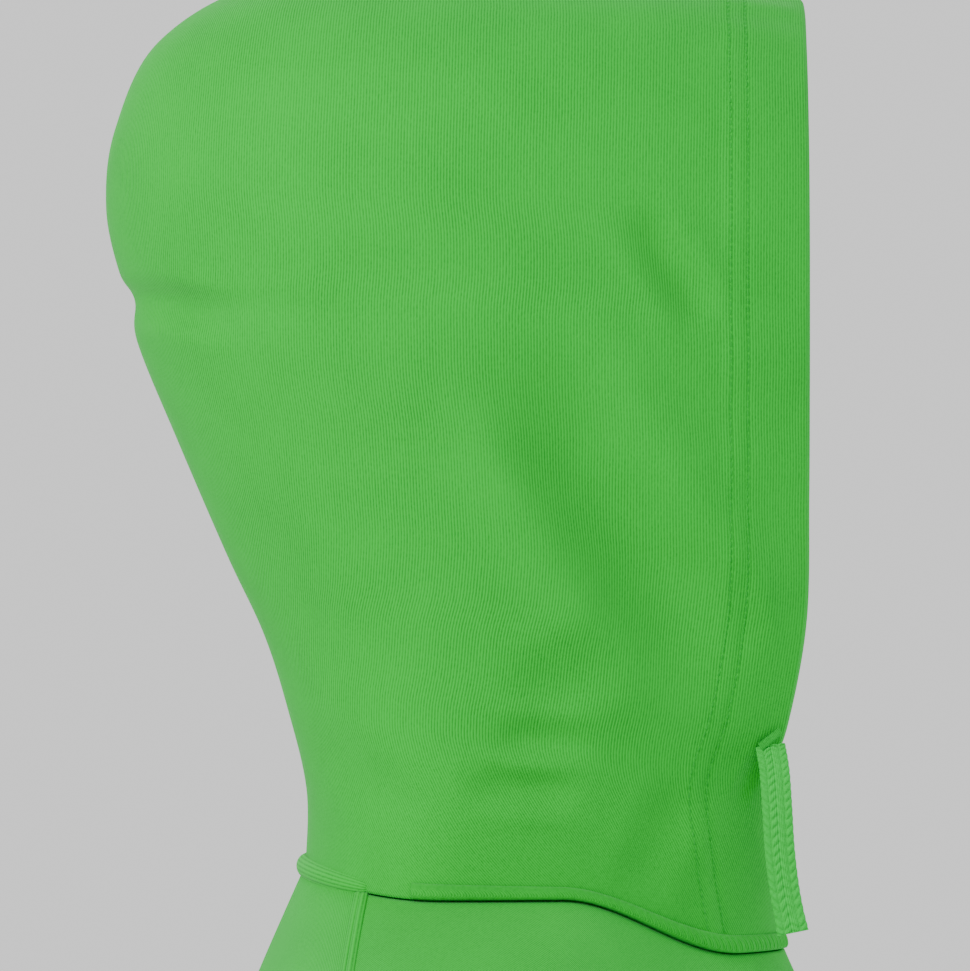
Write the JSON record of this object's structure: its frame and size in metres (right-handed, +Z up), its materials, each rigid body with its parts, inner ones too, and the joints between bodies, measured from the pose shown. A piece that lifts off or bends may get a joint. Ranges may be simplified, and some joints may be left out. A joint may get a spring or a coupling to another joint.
{
  "type": "zip-up hoodie",
  "caption": "Zip-up hoodie with its hood up, filled out as worn, with flat drawcord ends and a full-length zip.",
  "frame": {"origin": "midway between the points where the shoulder seams meet the neckline, where the wearer's shoulders and neck carry the garment", "axes": "+Z up, garment's front towards -Y, wearer's left towards +X"},
  "size_m": [0.7378, 0.2975, 1.0406],
  "materials": {
    "fleece": "fine jersey face, matt, brushed inside",
    "rib": "2 by 1 rib knit, matt",
    "drawcord": "flat knitted cord",
    "zip_tape": "woven polyester tape",
    "zip_teeth": "moulded teeth",
    "zip_enamel": "enamelled die casting"
  },
  "bodies": {
    "garment": {"front_right": "fleece", "front_left": "fleece", "back": "fleece", "hood_right": "fleece", "hood_left": "fleece", "neck_band_right": "fleece", "neck_band_left": "fleece", "sleeve_right": "fleece", "sleeve_left": "fleece", "cuff_right": "rib", "cuff_left": "rib", "hem_band": "rib", "drawcord_right": "drawcord", "drawcord_left": "drawcord", "zip_tape_right": "zip_tape", "zip_tape_left": "zip_tape", "zip_chain": "zip_teeth", "zip_slider": "zip_enamel"},
    "pull": {"pull_tab": "zip_enamel"}
  },
  "joints": [
    {"name": "pull_swing", "type": "hinge", "parent": "garment", "child": "pull", "pos_m": [0, -0.1803, -0.05866], "axis": [-1, 0, 0], "range_deg": [0, 150]}
  ]
}
